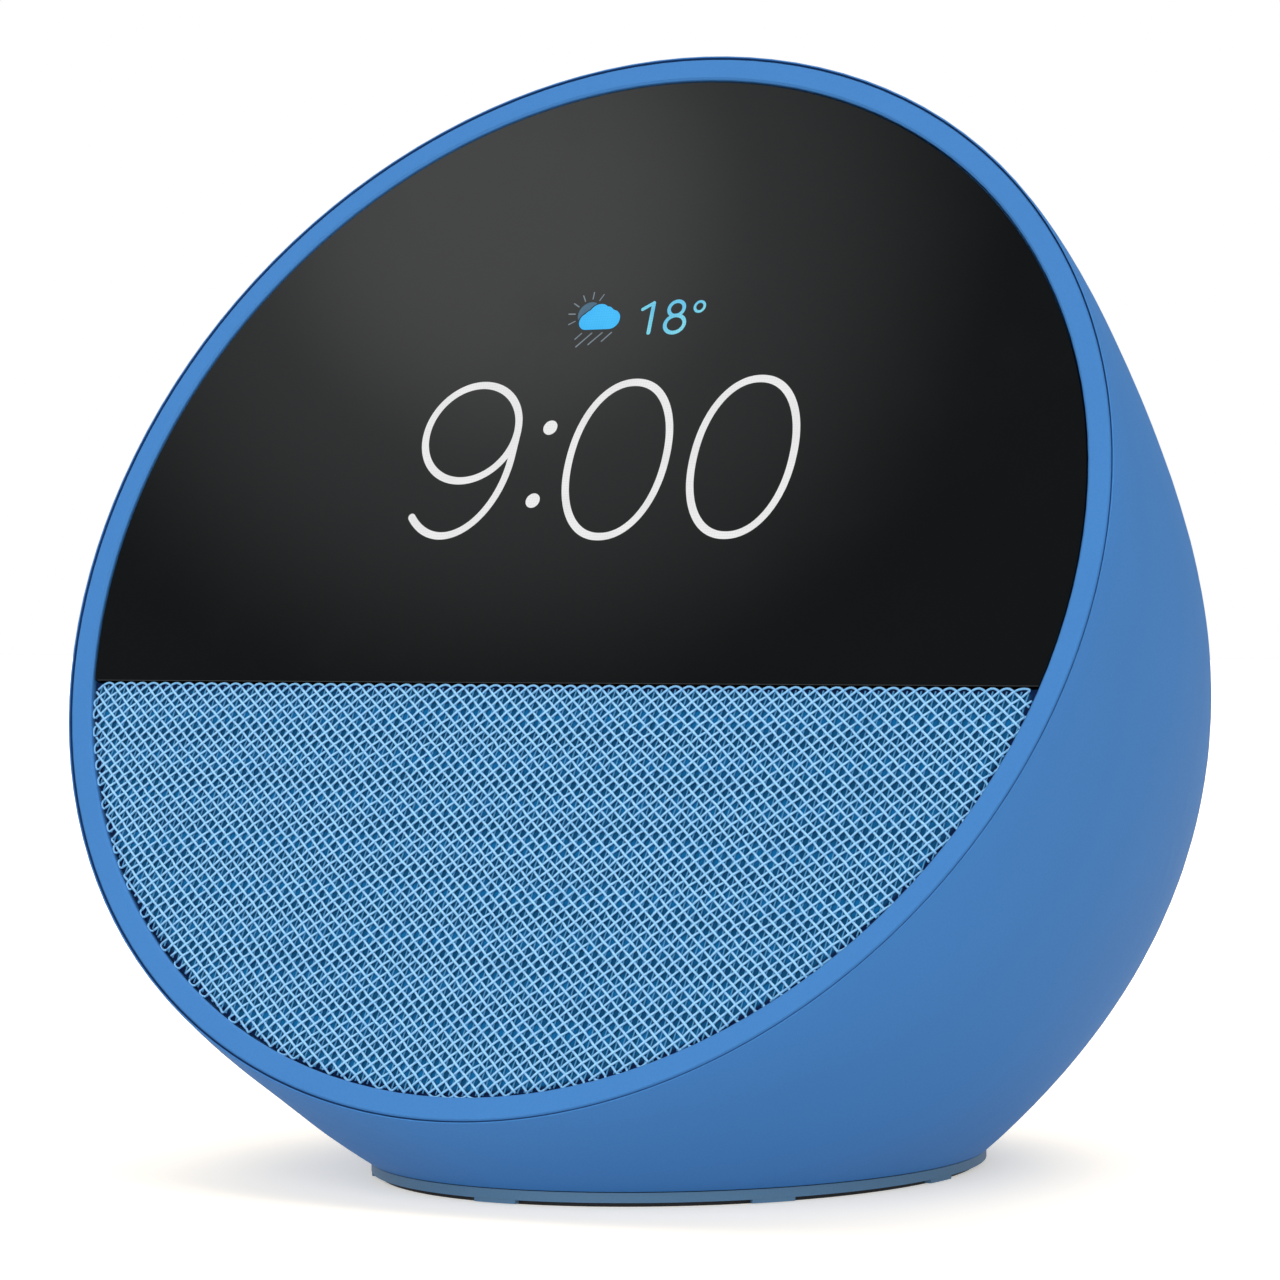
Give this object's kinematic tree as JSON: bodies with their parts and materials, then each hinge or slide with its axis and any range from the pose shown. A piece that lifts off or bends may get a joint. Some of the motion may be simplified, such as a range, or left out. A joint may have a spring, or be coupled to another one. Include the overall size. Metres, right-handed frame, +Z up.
{
  "type": "smart display",
  "caption": "Round-faced desktop smart display: screen above, mesh speaker grille below, on an egg-shaped housing with top buttons and a rear power inlet.",
  "frame": {"origin": "middle of the foot pad's underside, on the surface that the display stands on", "axes": "+Z up, -Y towards the user, who looks at a face tilted back 24.7 degrees, +X to the user's right"},
  "size_m": [0.1136, 0.1032, 0.1116],
  "materials": {
    "blue_plastic": "fine satin moulded plastic, mid blue",
    "base_plastic": "fine satin moulded plastic, greyer blue",
    "button_plastic": "fine satin moulded plastic, mid blue",
    "lens_glass": "cover lens, printed black behind, soft reflections",
    "blue_mesh": "open knitted mesh, light blue threads over dark blue",
    "dark_plastic": "moulded, dark",
    "foot_rubber": "matt, near black",
    "adhesive_foam": "closed-cell foam",
    "panel_glass": "thin display glass",
    "sheet_steel": "zinc-plated",
    "circuit_board": "green solder mask",
    "chip_black": "moulded epoxy",
    "basket_steel": "black paint",
    "surround_rubber": "soft, matt",
    "cone_paper": "pressed, dark",
    "spider_cloth": "resin-treated cloth",
    "coil_copper": "enamelled copper wire on a former",
    "ferrite": "sintered ferrite",
    "sink_aluminium": "as extruded",
    "flex_film": "amber film",
    "wire_cover": "insulated wire",
    "pin_brass": "plated contact"
  },
  "bodies": {
    "root": {"antennas": "flex_film", "backlight_unit": "dark_plastic", "base_plate": "base_plastic", "base_screws": "sheet_steel", "board_chips": "chip_black", "board_screws": "sheet_steel", "box_screws": "sheet_steel", "button_board": "circuit_board", "button_board_screws": "sheet_steel", "button_flex": "flex_film", "button_switches": "dark_plastic", "chassis_plate": "dark_plastic", "chassis_screws": "sheet_steel", "dc_jack": "dark_plastic", "dc_jack_pin": "pin_brass", "display_flex": "flex_film", "display_lens": "lens_glass", "foot_pad": "foot_rubber", "front_bezel": "blue_plastic", "grille_fabric": "blue_mesh", "grille_frame": "dark_plastic", "heat_sink": "sink_aluminium", "lcd_panel": "panel_glass", "lcd_tray": "sheet_steel", "lens_adhesive": "adhesive_foam", "light_sensor": "circuit_board", "magnet": "ferrite", "main_board": "circuit_board", "microphone_seals": "adhesive_foam", "microphones": "chip_black", "power_board": "circuit_board", "power_board_screws": "sheet_steel", "power_wires": "wire_cover", "rear_shell": "blue_plastic", "shield_can": "sheet_steel", "speaker_basket": "basket_steel", "speaker_box": "dark_plastic", "speaker_gasket": "adhesive_foam", "speaker_screws": "sheet_steel", "speaker_surround": "surround_rubber", "speaker_wires": "wire_cover", "spider": "spider_cloth", "thermal_pad": "adhesive_foam", "top_plate": "sheet_steel", "touch_sensor": "panel_glass", "yoke": "sheet_steel"},
    "volume_down": {"volume_down_button": "button_plastic", "volume_down_plunger": "dark_plastic"},
    "microphone": {"microphone_button": "button_plastic", "microphone_plunger": "dark_plastic"},
    "volume_up": {"volume_up_button": "button_plastic", "volume_up_plunger": "dark_plastic"},
    "cone": {"speaker_cone": "cone_paper", "dust_cap": "cone_paper", "voice_coil": "coil_copper"}
  },
  "joints": [
    {"name": "volume_down_press", "type": "slide", "parent": "root", "child": "volume_down", "axis": [0, -0.61, -0.7924], "range_m": [0, 0.0004], "stiffness_N_per_m": 4000},
    {"name": "microphone_press", "type": "slide", "parent": "root", "child": "microphone", "axis": [0, -0.61, -0.7924], "range_m": [0, 0.0004], "stiffness_N_per_m": 4000},
    {"name": "volume_up_press", "type": "slide", "parent": "root", "child": "volume_up", "axis": [0, -0.61, -0.7924], "range_m": [0, 0.0004], "stiffness_N_per_m": 4000},
    {"name": "cone_travel", "type": "slide", "parent": "root", "child": "cone", "axis": [0, -0.9085, 0.4179], "range_m": [-0.0008, 0.0008], "stiffness_N_per_m": 2400, "deforming": ["speaker_surround", "spider"]}
  ]
}
